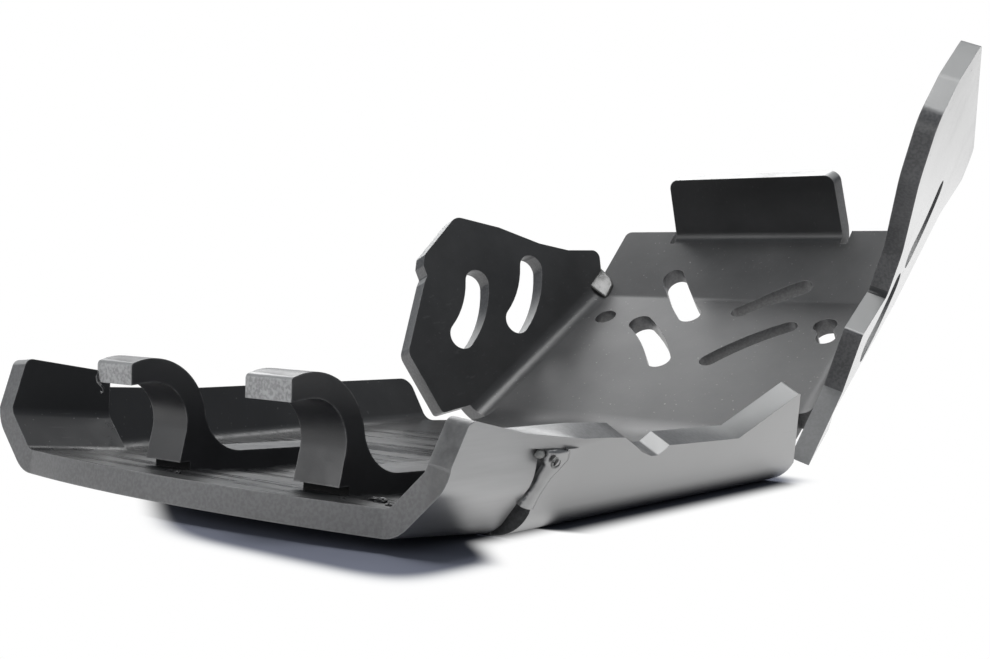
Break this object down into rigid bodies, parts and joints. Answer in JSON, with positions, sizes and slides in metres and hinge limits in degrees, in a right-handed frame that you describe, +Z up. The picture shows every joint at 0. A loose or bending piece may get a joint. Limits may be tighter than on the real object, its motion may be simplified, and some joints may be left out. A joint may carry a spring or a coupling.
{
  "type": "motorcycle skid plate",
  "caption": "Folded plastic engine guard for a motorcycle: trough floor with low side walls, raised vented front, side wings of unequal height and rear hooks over a frame tube.",
  "frame": {"origin": "on the underside of the flat middle floor, on the plate's middle line", "axes": "+X to the motorcycle's right, +Y forward along the plate, +Z up"},
  "size_m": [0.2593, 0.4222, 0.1732],
  "materials": {
    "sheet": "satin black",
    "hook": "satin black",
    "screw": "zinc plated"
  },
  "bodies": {
    "root": {"skid_plate": "sheet", "hook_left": "hook", "hook_right": "hook", "hook_screws": "screw"}
  },
  "joints": []
}
